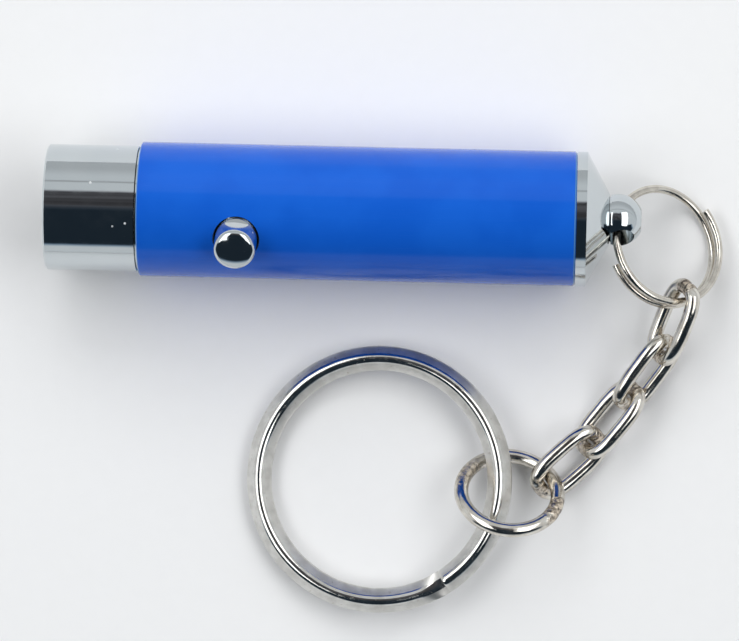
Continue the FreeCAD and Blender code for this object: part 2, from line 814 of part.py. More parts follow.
def check_and_write():
    """Stops on any failed object or bad shape, then writes one STEP file for each piece."""
    doc.recompute()
    failed = [o.Label for o in doc.Objects if "Invalid" in o.State or "Error" in o.State]
    if failed:
        raise RuntimeError(f"failed objects: {failed}")
    for label, piece in parts.items():
        if piece.Shape.isNull() or not piece.Shape.isValid():
            raise RuntimeError(f"{label} has no valid shape")
    os.makedirs("parts", exist_ok=True)
    for label, piece in parts.items():
        piece.Shape.exportStep(f"parts/{label}.step")
        print(f"{label:18} solids {len(piece.Shape.Solids)}  volume {piece.Shape.Volume:9.3f}")


make_body_tube()
make_nose_shell()
make_led()
make_led_holder()
make_circuit_board()
make_resistor()
make_switch()
make_push_button()
make_contact_disc()
make_springs()
make_cells()
make_battery_sleeve()
make_tail_cap()
make_split_ring()
for link in LINKS:
    make_chain_link(link)
make_jump_ring()
make_key_ring()
check_and_write()
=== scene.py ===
"""The look of the keychain flashlight: materials, finer pieces, light and camera round the CAD model."""

import math

import bmesh
import bpy
import numpy as np
from mathutils import Matrix, Vector, noise


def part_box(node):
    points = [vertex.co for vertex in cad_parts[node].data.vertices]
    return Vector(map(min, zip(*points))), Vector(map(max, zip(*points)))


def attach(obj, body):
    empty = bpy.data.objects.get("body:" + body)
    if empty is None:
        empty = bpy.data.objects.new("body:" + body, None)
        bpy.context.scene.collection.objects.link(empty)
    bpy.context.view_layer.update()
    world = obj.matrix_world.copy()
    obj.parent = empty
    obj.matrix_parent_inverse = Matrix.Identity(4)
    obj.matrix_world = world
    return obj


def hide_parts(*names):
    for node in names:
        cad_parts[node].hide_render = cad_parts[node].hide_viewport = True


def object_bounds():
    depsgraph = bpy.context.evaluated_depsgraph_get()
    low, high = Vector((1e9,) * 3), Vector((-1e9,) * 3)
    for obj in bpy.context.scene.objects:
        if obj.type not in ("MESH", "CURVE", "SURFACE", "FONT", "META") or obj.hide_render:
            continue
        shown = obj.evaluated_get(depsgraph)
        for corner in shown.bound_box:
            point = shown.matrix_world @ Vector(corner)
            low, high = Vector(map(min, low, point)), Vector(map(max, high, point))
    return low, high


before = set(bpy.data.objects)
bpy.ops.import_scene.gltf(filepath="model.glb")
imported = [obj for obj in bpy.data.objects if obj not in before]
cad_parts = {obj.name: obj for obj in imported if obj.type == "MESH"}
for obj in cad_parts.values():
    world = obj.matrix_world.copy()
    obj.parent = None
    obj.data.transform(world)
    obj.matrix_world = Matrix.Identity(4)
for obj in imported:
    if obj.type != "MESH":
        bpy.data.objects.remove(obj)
cad_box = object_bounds()

MM = 0.001
LINK_COUNT = 4
CELL_COUNT = 3
WIRE_UV = "wire"
tube_low, tube_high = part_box("body_tube")
TUBE_RADIUS = (tube_high.z - tube_low.z) / 2


# Node helpers


def add(tree, kind, inputs=None, **settings):
    """A shader node with its settings. An input is a value, or a socket to link from."""
    made = tree.nodes.new(kind)
    for name, value in settings.items():
        setattr(made, name, value)
    for name, value in (inputs or {}).items():
        if isinstance(value, bpy.types.NodeSocket):
            tree.links.new(value, made.inputs[name])
        else:
            made.inputs[name].default_value = value
    return made


def calc(tree, operation, *values):
    """The result of a Math node."""
    return add(tree, "ShaderNodeMath", dict(enumerate(values)), operation=operation).outputs[0]


def spread(tree, value, low, high, to_low=0.0, to_high=1.0):
    """Value from low..high, eased to to_low..to_high."""
    sockets = {"Value": value, "From Min": low, "From Max": high, "To Min": to_low, "To Max": to_high}
    return add(tree, "ShaderNodeMapRange", sockets, interpolation_type="SMOOTHSTEP").outputs[0]


def blend_colour(tree, share, first, second):
    """The first colour where share is 0, the second where it is 1."""
    made = add(tree, "ShaderNodeMix", {0: share, 6: first, 7: second}, data_type="RGBA")
    return made.outputs[2]


def blend_value(tree, share, first, second):
    """The first value where share is 0, the second where it is 1."""
    made = add(tree, "ShaderNodeMix", {0: share, 2: first, 3: second}, data_type="FLOAT")
    return made.outputs[0]


def coordinate(tree, vector, axis):
    """One of a vector's three coordinates."""
    return add(tree, "ShaderNodeSeparateXYZ", {0: vector}).outputs[axis]


def place_in(tree):
    """The surface point as it is at rest in the CAD frame, in millimetres."""
    where = add(tree, "ShaderNodeTexCoord").outputs["Object"]
    return add(tree, "ShaderNodeVectorMath", {0: where, "Scale": 1 / MM}, operation="SCALE").outputs[0]


def along_wire(tree, axis):
    """A coordinate of the finer wires' own map.

    Axis 0 runs along the wire. Axis 1 runs round it, or on the key ring from its crown (0) to its edges (1).
    """
    mapped = add(tree, "ShaderNodeUVMap", uv_map=WIRE_UV).outputs[0]
    return coordinate(tree, mapped, axis)


def from_axis(tree, place):
    """Distance from the X axis, in millimetres."""
    sockets = {0: place, 1: Vector((0, 1, 1))}
    across = add(tree, "ShaderNodeVectorMath", sockets, operation="MULTIPLY").outputs[0]
    return add(tree, "ShaderNodeVectorMath", {0: across}, operation="LENGTH").outputs[1]


def grain(tree, place, size, detail=3.0, stretch=(1, 1, 1), roughness=0.5):
    """Noise whose features are about that many millimetres across, drawn out by stretch."""
    drawn = [1 / (size * factor) for factor in stretch]
    factors = {0: place, 1: Vector(drawn)}
    scaled = add(tree, "ShaderNodeVectorMath", factors, operation="MULTIPLY").outputs[0]
    sockets = {"Vector": scaled, "Scale": 1.0, "Detail": detail, "Roughness": roughness}
    return add(tree, "ShaderNodeTexNoise", sockets).outputs[0]


def specks(tree, place, size, share):
    """Small separate spots, one in that share of the cells that are size millimetres across."""
    edge, core = 0.16, 0.05
    cells = add(tree, "ShaderNodeTexVoronoi", {"Vector": place, "Scale": 1 / size}, feature="F1")
    chosen = add(tree, "ShaderNodeSeparateColor", {0: cells.outputs["Color"]}).outputs[0]
    near = spread(tree, cells.outputs["Distance"], edge, core)
    return calc(tree, "MULTIPLY", near, calc(tree, "LESS_THAN", chosen, share))


def bump(tree, height, depth, normal=None):
    """A bump of that depth in millimetres, on top of the given normal."""
    sockets = {"Height": height, "Distance": depth * MM, "Strength": 1.0}
    if normal:
        sockets["Normal"] = normal
    return add(tree, "ShaderNodeBump", sockets).outputs[0]


def material(name, **sockets):
    """A new material and its shader, with the given values on the shader's own sockets."""
    made = bpy.data.materials.new(name)
    made.use_nodes = True
    shader = made.node_tree.nodes["Principled BSDF"]
    for socket, value in sockets.items():
        shader.inputs[socket.replace("_", " ")].default_value = value
    return made, made.node_tree, shader


def wire_in(tree, shader, **sockets):
    """Links sockets of the shader to what feeds them."""
    for socket, source in sockets.items():
        tree.links.new(source, shader.inputs[socket.replace("_", " ")])


# Materials. Grain sizes and bump depths are in millimetres, and colours are linear. A span is a pair of
# values between which one look fades into the other.

SOFT_SPAN = (0.35, 0.65)
WIDE_SPAN = (0.3, 0.7)


def make_lacquer():
    """Blue lacquer over a metal tube: glossy, a little uneven, a painted highlight of lighter blue on the
    cut rims, bare metal inside.
    """
    deep, clear, dusty = (0.005, 0.098, 0.56, 1), (0.007, 0.112, 0.60, 1), (0.03, 0.16, 0.64, 1)
    # The lighter blue on the next line is a painted highlight for the cut rims.
    rim_highlight_blue, bare = (0.12, 0.33, 0.66, 1), (0.50, 0.50, 0.50, 1)
    gloss = {"Specular_IOR_Level": 0.1, "Coat_Weight": 0.55, "Coat_Roughness": 0.05, "Coat_IOR": 1.33}
    smooth, scratched, peel_depth = 0.26, 0.42, 0.0022
    dust_span, scratch_span = (0.70, 0.82), (0.66, 0.76)
    front_rim_span, back_rim_span, skin_span = (0.12, 0.03), (0.1, 0.03), (0.06, 0.12)
    made, tree, shader = material("blue_lacquer", **gloss)
    place = place_in(tree)

    clouds = spread(tree, grain(tree, place, size=6.0), *SOFT_SPAN)
    blue = blend_colour(tree, clouds, deep, clear)
    dust = spread(tree, grain(tree, place, size=0.12, detail=6.0), *dust_span, to_high=0.2)
    blue = blend_colour(tree, dust, blue, dusty)

    x = coordinate(tree, place, 0)
    front, back = tube_low.x / MM, tube_high.x / MM
    # Painted highlight: the chamfered cut rims at both ends get the lighter blue, for the light they catch.
    front_rim = spread(tree, x, *(front + width for width in front_rim_span))
    back_rim = spread(tree, x, *(back - width for width in back_rim_span))
    painted_rim_highlight = calc(tree, "MAXIMUM", front_rim, back_rim)
    blue = blend_colour(tree, painted_rim_highlight, blue, rim_highlight_blue)

    outer = TUBE_RADIUS / MM
    inside = spread(tree, from_axis(tree, place), *(outer - depth for depth in skin_span))
    inside = calc(tree, "MULTIPLY", inside, calc(tree, "SUBTRACT", 1.0, painted_rim_highlight))
    colour = blend_colour(tree, inside, blue, bare)

    scratches = grain(tree, place, size=0.05, detail=2.0, stretch=(90, 1, 1))
    rough = spread(tree, scratches, *scratch_span, smooth, scratched)
    normal = bump(tree, grain(tree, place, size=0.55, detail=1.0), peel_depth)
    wire_in(tree, shader, Base_Color=colour, Metallic=inside, Roughness=rough)
    wire_in(tree, shader, Normal=normal, Coat_Normal=normal)
    return made


def make_chrome(name, turned_about_x):
    """Bright chrome plate: haze, hairlines and a few specks of dust, with lathe rings where it is turned."""
    darker, lighter, dust = (0.565, 0.61, 0.635, 1), (0.635, 0.675, 0.69, 1), (0.9, 0.92, 0.93, 1)
    clear, hazy, dusty = 0.035, 0.11, 0.7
    hair_height, fine_depth, wave_depth = 0.35, 0.0006, 0.005
    haze_span, hair_span = (0.35, 0.75), (0.62, 0.75)
    made, tree, shader = material(name, Metallic=1.0)
    place = place_in(tree)

    colour = blend_colour(tree, grain(tree, place, size=3.5), darker, lighter)
    spots = specks(tree, place, size=1.1, share=0.10)
    colour = blend_colour(tree, spots, colour, dust)
    haze = spread(tree, grain(tree, place, size=1.6, detail=5.0), *haze_span, clear, hazy)
    rough = calc(tree, "MAXIMUM", haze, calc(tree, "MULTIPLY", spots, dusty))

    hair = grain(tree, place, size=0.035, detail=1.0, stretch=(30, 2, 2))
    height = spread(tree, hair, *hair_span, to_high=hair_height)
    if turned_about_x:
        rings = grain(tree, place, size=0.09, detail=3.0, stretch=(1, 400, 400))
        height = calc(tree, "ADD", height, rings)
    normal = bump(tree, height, fine_depth)
    normal = bump(tree, grain(tree, place, size=2.2, detail=1.0), wave_depth, normal)
    wire_in(tree, shader, Base_Color=colour, Roughness=rough, Normal=normal)
    return made


def worn_wire(tree, place, light, dark, polish):
    """The colour and roughness of plated wire with worn patches. Polish is (least, most) rough."""
    patches = spread(tree, grain(tree, place, size=1.3, detail=5.0), *SOFT_SPAN)
    colour = blend_colour(tree, patches, dark, light)
    rough = spread(tree, grain(tree, place, size=0.5, detail=5.0), *WIDE_SPAN, *polish)
    return colour, rough


def make_wire_metal(name, light, dark, tarnish, polish, hazy_flanks=False):
    """Plated wire: worn patches, a little tarnish, fine grain and pits. Its flanks can be hazier."""
    tarnish_share, tarnish_rough, flank_rough = 0.55, 0.8, 0.40
    stain_span, flank_span = (0.60, 0.72), (0.33, 0.46)
    fine_depth, wave_depth = 0.0012, 0.008
    made, tree, shader = material(name, Metallic=1.0)
    place = place_in(tree)

    colour, rough = worn_wire(tree, place, light, dark, polish)
    stain = grain(tree, place, size=0.45, detail=7.0, roughness=0.65)
    stain = spread(tree, stain, *stain_span, to_high=tarnish_share)
    colour = blend_colour(tree, stain, colour, tarnish)
    rough = calc(tree, "MAXIMUM", rough, calc(tree, "MULTIPLY", stain, tarnish_rough))
    if hazy_flanks:
        haze = spread(tree, along_wire(tree, 1), *flank_span, to_high=flank_rough)
        rough = calc(tree, "MAXIMUM", rough, haze)

    pits = specks(tree, place, size=0.32, share=0.22)
    fine = grain(tree, place, size=0.07, detail=4.0)
    normal = bump(tree, calc(tree, "SUBTRACT", fine, pits), fine_depth)
    normal = bump(tree, grain(tree, place, size=0.9, detail=2.0), wave_depth, normal)
    wire_in(tree, shader, Base_Color=colour, Roughness=rough, Normal=normal)
    return made


def make_brazed_wire():
    """Nickel-plated wire, scorched and rough where it is brazed and where the next link rubs."""
    light, dark = (0.76, 0.73, 0.67, 1), (0.60, 0.56, 0.50, 1)
    soot, straw = (0.05, 0.03, 0.02, 1), (0.74, 0.63, 0.50, 1)
    ragged_by, rub_share, scorch_share, scorch_rough = 0.14, 0.7, 0.85, 0.27
    joint_span, rub_span, burnt_span = (0.06, 0.02), (0.43, 0.48), (0.36, 0.6)
    wave_depth, fine_depth, crust_depth = 0.010, 0.0012, 0.10
    made, tree, shader = material("brazed_wire", Metallic=1.0)
    place = place_in(tree)

    share = along_wire(tree, 0)
    from_joint = calc(tree, "MINIMUM", share, calc(tree, "SUBTRACT", 1.0, share))
    ragged = calc(tree, "SUBTRACT", grain(tree, place, size=0.7, detail=5.0), 0.5)
    from_joint = calc(tree, "ADD", from_joint, calc(tree, "MULTIPLY", ragged, ragged_by))
    joint = spread(tree, from_joint, *joint_span)
    rubbed = spread(tree, from_joint, *rub_span, to_high=rub_share)
    scorched = calc(tree, "MAXIMUM", joint, rubbed)

    colour, rough = worn_wire(tree, place, light, dark, polish=(0.09, 0.20))
    burnt = spread(tree, grain(tree, place, size=0.35, detail=5.0), *burnt_span)
    burnt = blend_colour(tree, burnt, soot, straw)
    colour = blend_colour(tree, calc(tree, "MULTIPLY", scorched, scorch_share), colour, burnt)
    rough = calc(tree, "MAXIMUM", rough, calc(tree, "MULTIPLY", scorched, scorch_rough))

    crust = calc(tree, "MULTIPLY", grain(tree, place, size=0.30, detail=4.0), scorched)
    normal = bump(tree, grain(tree, place, size=0.9, detail=2.0), wave_depth)
    normal = bump(tree, grain(tree, place, size=0.07, detail=4.0), fine_depth, normal)
    normal = bump(tree, crust, crust_depth, normal)
    wire_in(tree, shader, Base_Color=colour, Roughness=rough, Normal=normal)
    return made


def make_satin_metal(name, light, dark, rough, cloud_size):
    """Uncoated or tinned metal on the inner pieces: cloudy, with fine grain."""
    rough_spread, fine_depth = 0.15, 0.0015
    made, tree, shader = material(name, Metallic=1.0)
    place = place_in(tree)
    clouds = grain(tree, place, cloud_size, detail=5.0)
    fine = grain(tree, place, size=0.08, detail=4.0)
    wire_in(
        tree,
        shader,
        Base_Color=blend_colour(tree, spread(tree, clouds, *WIDE_SPAN), dark, light),
        Roughness=spread(tree, fine, *WIDE_SPAN, rough, rough + rough_spread),
        Normal=bump(tree, fine, fine_depth),
    )
    return made


def make_plastic(name, light, dark, rough, grain_depth):
    """Moulded or laminated plastic: slight mottling and a moulded grain."""
    rough_spread = 0.1
    made, tree, shader = material(name)
    place = place_in(tree)
    clouds = grain(tree, place, size=1.8, detail=4.0)
    fine = grain(tree, place, size=0.12, detail=3.0)
    wire_in(
        tree,
        shader,
        Base_Color=blend_colour(tree, spread(tree, clouds, *WIDE_SPAN), dark, light),
        Roughness=spread(tree, fine, *WIDE_SPAN, rough, rough + rough_spread),
        Normal=bump(tree, fine, grain_depth),
    )
    return made


def make_resin():
    """The diode's clear resin, with faint flow lines."""
    faint_blue, nearly_clear = (0.93, 0.96, 1, 1), (0.98, 0.99, 1, 1)
    clear, cloudy, flow_depth = 0.02, 0.07, 0.01
    made, tree, shader = material("clear_resin", IOR=1.54, Transmission_Weight=1.0)
    flow = grain(tree, place_in(tree), size=0.8, detail=3.0, stretch=(3, 1, 1))
    wire_in(
        tree,
        shader,
        Base_Color=blend_colour(tree, flow, faint_blue, nearly_clear),
        Roughness=spread(tree, flow, *WIDE_SPAN, clear, cloudy),
        Normal=bump(tree, flow, flow_depth),
    )
    return made


def make_nickel_wire():
    light, dark, tarnish = (0.74, 0.70, 0.63, 1), (0.60, 0.56, 0.50, 1), (0.20, 0.15, 0.10, 1)
    return make_wire_metal("nickel_wire", light, dark, tarnish, polish=(0.10, 0.24))


def make_key_ring_steel():
    light, dark, tarnish = (0.74, 0.73, 0.70, 1), (0.62, 0.61, 0.58, 1), (0.33, 0.27, 0.20, 1)
    return make_wire_metal("key_ring_steel", light, dark, tarnish, polish=(0.07, 0.16), hazy_flanks=True)


def make_spring_steel():
    light, dark = (0.66, 0.65, 0.62, 1), (0.45, 0.44, 0.42, 1)
    return make_satin_metal("spring_steel", light, dark, rough=0.22, cloud_size=0.9)


def make_cell_steel():
    light, dark = (0.80, 0.79, 0.77, 1), (0.66, 0.65, 0.63, 1)
    return make_satin_metal("cell_steel", light, dark, rough=0.20, cloud_size=2.5)


def make_tinned_copper():
    light, dark = (0.78, 0.78, 0.79, 1), (0.60, 0.60, 0.62, 1)
    return make_satin_metal("tinned_copper", light, dark, rough=0.25, cloud_size=0.6)


def make_white_plastic():
    light, dark = (0.84, 0.84, 0.81, 1), (0.76, 0.76, 0.73, 1)
    return make_plastic("white_plastic", light, dark, rough=0.40, grain_depth=0.004)


def make_black_plastic():
    light, dark = (0.030, 0.030, 0.032, 1), (0.018, 0.018, 0.020, 1)
    return make_plastic("black_plastic", light, dark, rough=0.38, grain_depth=0.004)


def make_board_green():
    light, dark = (0.035, 0.22, 0.085, 1), (0.020, 0.15, 0.060, 1)
    return make_plastic("board_green", light, dark, rough=0.25, grain_depth=0.002)


def make_sleeve_film():
    light, dark = (0.80, 0.77, 0.68, 1), (0.70, 0.66, 0.57, 1)
    return make_plastic("sleeve_film", light, dark, rough=0.30, grain_depth=0.002)


def dress_nodes():
    """Gives every CAD node its own material, and returns the materials by node."""
    chrome = make_chrome("turned_chrome", turned_about_x=True)
    nickel = make_nickel_wire()
    spring = make_spring_steel()
    can = make_cell_steel()
    tin = make_tinned_copper()
    white = make_white_plastic()
    black = make_black_plastic()
    board = make_board_green()
    finish = {
        "body_tube": make_lacquer(),
        "nose_shell": chrome,
        "tail_cap": chrome,
        "push_button": make_chrome("button_chrome", turned_about_x=False),
        "split_ring": nickel,
        "jump_ring": nickel,
        "key_ring": make_key_ring_steel(),
        "led_bulb": make_resin(),
        "led_leads": tin,
        "led_holder": white,
        "circuit_board": board,
        "resistor": black,
        "switch_body": black,
        "switch_plunger": white,
        "switch_terminals": tin,
        "contact_disc": board,
        "front_spring": spring,
        "tail_spring": spring,
        "battery_sleeve": make_sleeve_film(),
    }
    for number in range(1, LINK_COUNT + 1):
        finish[f"chain_link_{number}"] = nickel
    for number in range(1, CELL_COUNT + 1):
        finish[f"battery_cell_{number}"] = can
    for name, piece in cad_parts.items():
        piece.data.materials.clear()
        piece.data.materials.append(finish[name])
    return finish


# Objects in the scene


def put_in_scene(name, data):
    """A new object in the scene, for a mesh, a lamp or a camera."""
    made = bpy.data.objects.new(name, data)
    bpy.context.scene.collection.objects.link(made)
    return made


def object_from(name, mesh):
    """A new object in the scene, from a bmesh that isn't needed any more."""
    data = bpy.data.meshes.new(name)
    mesh.to_mesh(data)
    mesh.free()
    return put_in_scene(name, data)


def stand_in(made, node, body, finish):
    """Puts a finer piece in a CAD node's place."""
    made.data.materials.append(finish)
    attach(made, body)
    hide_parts(node)


# Where the CAD model's wires lie, read from its faces

SQUARE_ON = 0.97
FLAT_ON = 0.9995


def node_faces(name):
    """The centres, normals and areas of a CAD node's faces, as arrays."""
    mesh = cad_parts[name].data
    count = len(mesh.polygons)
    centres, normals, areas = np.empty(count * 3), np.empty(count * 3), np.empty(count)
    mesh.polygons.foreach_get("center", centres)
    mesh.polygons.foreach_get("normal", normals)
    mesh.polygons.foreach_get("area", areas)
    return centres.reshape(-1, 3), normals.reshape(-1, 3), areas


def main_axes(vectors, weights):
    """The three main axes of a set of vectors, from the one they lie least along to the most."""
    axes = np.linalg.eigh((vectors * weights[:, None]).T @ vectors)[1]
    return axes[:, 0], axes[:, 1], axes[:, 2]


def ways_out(offsets, axis):
    """Each point's way straight out from an axis, and its distance from it."""
    radial = offsets - np.outer(offsets @ axis, axis)
    distance = np.linalg.norm(radial, axis=1)
    return radial / distance[:, None], distance


def cut_side(radial, axis, normals, areas):
    """The side of a ring that its cut ends are on. Only the faces of a cut look along the wire."""
    along = np.cross(axis, radial)
    cut = np.abs(np.sum(along * normals, axis=1)) > SQUARE_ON
    return (radial[cut] * areas[cut, None]).sum(axis=0)


def wire_frame(name):
    """A closed wire's centre, its long and short directions, its plane's normal and its seam's side."""
    centres, normals, areas = node_faces(name)
    weights = areas / areas.sum()
    middle = weights @ centres
    offsets = centres - middle
    normal, _, long = main_axes(offsets, weights)
    radial, _ = ways_out(offsets, normal)
    seam = cut_side(radial, normal, normals, areas)
    if seam @ long < 0:
        long = -long
    short = np.cross(normal, long)
    return Vector(middle), Vector(long), Vector(short), Vector(normal), Vector(seam).normalized()


def key_ring_frame():
    """The key ring's centre, its axis, the way to its crossover and its outer radius."""
    centres, normals, areas = node_faces("key_ring")
    axis = main_axes(normals, areas)[2]
    axis *= math.copysign(1, axis[2])
    flat = normals @ axis > FLAT_ON
    axis = (normals[flat] * areas[flat, None]).sum(axis=0)
    axis /= np.linalg.norm(axis)
    first = np.cross(axis, (0.0, 1.0, 0.0))
    first /= np.linalg.norm(first)
    second = np.cross(axis, first)
    middle = sum(way * ((centres @ way).max() + (centres @ way).min()) / 2 for way in (first, second, axis))
    radial, distance = ways_out(centres - middle, axis)
    cut = cut_side(radial, axis, normals, areas)
    return Vector(middle), Vector(axis), Vector(cut).normalized(), float(distance.max())


# The chain's links and the jump ring: one round wire each, with a brazed joint

CHAIN_WIRE_RADIUS = 0.68 * MM
WIRE_SIDES = 24
LINK_REACH_LONG, LINK_REACH_SHORT = 3.6 * MM, 1.9 * MM
LINK_FULLNESS = 2 / 3.1
LINK_STEPS = 168
LINK_SEED = 7.0
JUMP_REACH = 4.59 * MM
JUMP_STEPS = 200
JUMP_SEED = 55.0
BEAD_HEIGHT = 0.035


def sweep_wire(name, path, plane_normal, lump, seed):
    """A closed round wire along a flat path.

    Lump gives how far the radius changes at a share of the way round. Like the dents, that is a share of the
    radius. The seed gives each wire dents of its own.
    """
    dent, dent_size, ripple, ripples_per_mm = 0.012, 1.1, 0.006, 2.3
    lump_mean, lump_spread, lumps_per_mm = 0.75, 0.9, 1.9
    mesh = bmesh.new()
    uv = mesh.loops.layers.uv.new(WIRE_UV)
    rings = []
    count = len(path)
    for index, point in enumerate(path):
        ahead = (path[(index + 1) % count] - path[index - 1]).normalized()
        outward = ahead.cross(plane_normal)
        ring = []
        for step in range(WIRE_SIDES):
            turn = 2 * math.pi * step / WIRE_SIDES
            way = outward * math.cos(turn) + plane_normal * math.sin(turn)
            place = (point + way * CHAIN_WIRE_RADIUS) / MM + Vector((seed, 0, 0))
            dents = dent * noise.noise(place / dent_size) + ripple * noise.noise(place * ripples_per_mm)
            swell = lump(index / count) * (lump_mean + lump_spread * noise.noise(place * lumps_per_mm))
            ring.append(mesh.verts.new(point + way * (CHAIN_WIRE_RADIUS * (1 + dents + swell))))
        rings.append(ring)
    for index in range(count):
        first, second = rings[index], rings[(index + 1) % count]
        for step in range(WIRE_SIDES):
            after = (step + 1) % WIRE_SIDES
            face = mesh.faces.new((first[step], second[step], second[after], first[after]))
            face.smooth = True
            ends = (index, index + 1, index + 1, index)
            steps = (step, step, step + 1, step + 1)
            for loop, along, around in zip(face.loops, ends, steps):
                loop[uv].uv = (along / count, around / WIRE_SIDES)
    return object_from(name, mesh)


def hump(distance, width):
    """A smooth hump, 1 high where distance is 0."""
    return math.exp(-((distance / width) ** 2))


def link_lump(share):
    """A link's brazed joint: a shallow notch with a bead on either side of it."""
    bead_at, bead_width, notch_depth, notch_width = 0.022, 0.014, 0.14, 0.006
    away = min(share, 1 - share)
    return BEAD_HEIGHT * hump(away - bead_at, bead_width) - notch_depth * hump(away, notch_width)


def jump_lump(share):
    """The jump ring's brazed joint: a narrower and deeper notch, and its beads."""
    bead_at, bead_width, notch_depth, notch_width = 0.016, 0.012, 0.16, 0.003
    away = min(share, 1 - share)
    return BEAD_HEIGHT * hump(away - bead_at, bead_width) - notch_depth * hump(away, notch_width)


def fuller(value):
    """A cosine or sine pushed outwards, so that a circle fills out to a full oval."""
    return math.copysign(abs(value) ** LINK_FULLNESS, value)


def make_link(number, finish):
    """An oval link of bent wire, brazed at one end."""
    node = f"chain_link_{number}"
    middle, long, short, normal, _ = wire_frame(node)
    path = []
    for step in range(LINK_STEPS):
        turn = 2 * math.pi * step / LINK_STEPS
        along = long * LINK_REACH_LONG * fuller(math.cos(turn))
        across = short * LINK_REACH_SHORT * fuller(math.sin(turn))
        path.append(middle + along + across)
    made = sweep_wire(f"brazed_link_{number}", path, normal, link_lump, LINK_SEED * number)
    stand_in(made, node, f"link_{number}", finish)


def make_jump_ring(finish):
    """A ring of bent wire whose ends meet in a rough brazed joint."""
    middle, _, _, normal, seam = wire_frame("jump_ring")
    beside = normal.cross(seam)
    path = []
    for step in range(JUMP_STEPS):
        turn = 2 * math.pi * step / JUMP_STEPS
        path.append(middle + (seam * math.cos(turn) + beside * math.sin(turn)) * JUMP_REACH)
    made = sweep_wire("brazed_jump_ring", path, normal, jump_lump, JUMP_SEED)
    stand_in(made, "jump_ring", "jump_ring", finish)


# The key ring: lengths in millimetres (but the merge distance in metres), angles in degrees

KEY_HALF_WIDTH = 1.175
KEY_THICKNESS = 1.12
KEY_HALF_GAP = 0.03
KEY_CROSSOVER = 20.0
KEY_OPENING = 1.5
KEY_TURN_OVER = 13
KEY_STEP = 1.4
KEY_END_STEP = 0.4
KEY_END_SCALE = 0.90
KEY_DENT = 0.005
KEY_DENT_SIZE = 2.5
KEY_CREASE = 50
MERGE_DISTANCE = 1e-7


def eased(share):
    """Share held to 0..1, with a soft start and end."""
    held = min(max(share, 0), 1)
    return held * held * (3 - 2 * held)


def key_outline():
    """Half the key ring's section from its crown to its edge: (across, down), before it is scaled to size.

    The bends are (radius, up to this slope in degrees): a tight crown, nearly straight flanks, tight edges.
    """
    bends = ((0.5, 42), (5.0, 51), (0.3, 90))
    steps = 10
    across, down, slope = 0.0, 0.0, 0.0
    points = [(across, down)]
    for radius, limit in bends:
        for step in range(steps):
            turn = math.radians(slope + (limit - slope) * (step + 1) / steps)
            before = math.radians(slope + (limit - slope) * step / steps)
            across += radius * (math.sin(turn) - math.sin(before))
            down += radius * (math.cos(before) - math.cos(turn))
            points.append((across, down))
        slope = limit
    return points


def key_crown():
    """The crowned side of the wire from edge to edge: (across, up)."""
    outline = key_outline()
    scale = KEY_HALF_WIDTH / outline[-1][0]
    right = [(across * scale, KEY_THICKNESS - down * scale) for across, down in outline]
    right.append((KEY_HALF_WIDTH, 0.0))
    left = [(-across, up) for across, up in right[:0:-1]]
    return left + right


def key_section(crown, turned_up):
    """The wire's section, crowned below where turned_up is 0 and above where it is 1."""
    half = KEY_THICKNESS / 2
    top = [(across, half - turned_up * (KEY_THICKNESS - up)) for across, up in crown]
    under = [(across, -half + (1 - turned_up) * (KEY_THICKNESS - up)) for across, up in reversed(crown)]
    return top + under[1:-1]


def key_turns(start):
    """The angles of the wire's sections, from the lower coil's cut end to the upper coil's."""
    turns = [start, start - KEY_END_STEP]
    while turns[-1] > KEY_STEP - start:
        turns.append(turns[-1] - KEY_STEP)
    return turns + [KEY_END_STEP - start, -start]


def make_key_ring(finish):
    """One wound wire: the lower coil, the crossover and the upper coil, with both ends cut square."""
    middle, axis, cut, outer = key_ring_frame()
    beside = axis.cross(cut)
    crown = key_crown()
    start = 360 - KEY_CROSSOVER - KEY_OPENING
    mesh = bmesh.new()
    rings = []
    for turn in key_turns(start):
        angle = math.radians(turn)
        out = cut * math.cos(angle) + beside * math.sin(angle)
        climbed = eased((KEY_CROSSOVER - turn) / (2 * KEY_CROSSOVER))
        core = (2 * climbed - 1) * (KEY_HALF_GAP + KEY_THICKNESS / 2)
        scale = KEY_END_SCALE if abs(turn) == start else 1.0
        ring = []
        for across, up in key_section(crown, eased((KEY_CROSSOVER - turn) / KEY_TURN_OVER)):
            place = middle + out * (outer - (KEY_HALF_WIDTH - across * scale) * MM)
            place += axis * ((core + up * scale) * MM)
            dent = KEY_DENT * noise.noise(place / (KEY_DENT_SIZE * MM)) * MM
            ring.append(mesh.verts.new(place + out * dent))
        rings.append(ring)
    uv = mesh.loops.layers.uv.new(WIRE_UV)
    along = 0.5  # the same everywhere, because this material reads only the coordinate across the wire
    flank = [abs(across) / KEY_HALF_WIDTH for across, _ in key_section(crown, 1)]
    count = len(flank)
    for first, second in zip(rings, rings[1:]):
        for step in range(count):
            after = (step + 1) % count
            face = mesh.faces.new((first[step], first[after], second[after], second[step]))
            face.smooth = True
            for loop, corner in zip(face.loops, (step, after, after, step)):
                loop[uv].uv = (along, flank[corner])
    mesh.faces.new(rings[0][::-1])
    mesh.faces.new(rings[-1])
    bmesh.ops.remove_doubles(mesh, verts=mesh.verts, dist=MERGE_DISTANCE)
    bmesh.ops.recalc_face_normals(mesh, faces=mesh.faces)
    made = object_from("wound_key_ring", mesh)
    made.data.set_sharp_from_angle(angle=math.radians(KEY_CREASE))
    stand_in(made, "key_ring", "key_ring", finish)


# The button: lengths in millimetres, angles in degrees

BUTTON_TILT = 26
BUTTON_STEM_RADIUS = 1.97
BUTTON_EDGE_RADIUS = 0.55
BUTTON_DOME_SLOPE = 17
BUTTON_BELOW_CAD_TOP = 0.23
FLANGE_RADIUS = 2.8
FLANGE_HEIGHT = 0.8
FLANGE_FALL = 0.02
FLANGE_ROUNDING = 0.1
FLANGE_BEVEL = 0.05
DOME_STEPS = 24
EDGE_STEPS = 14
LATHE_SIDES = 96


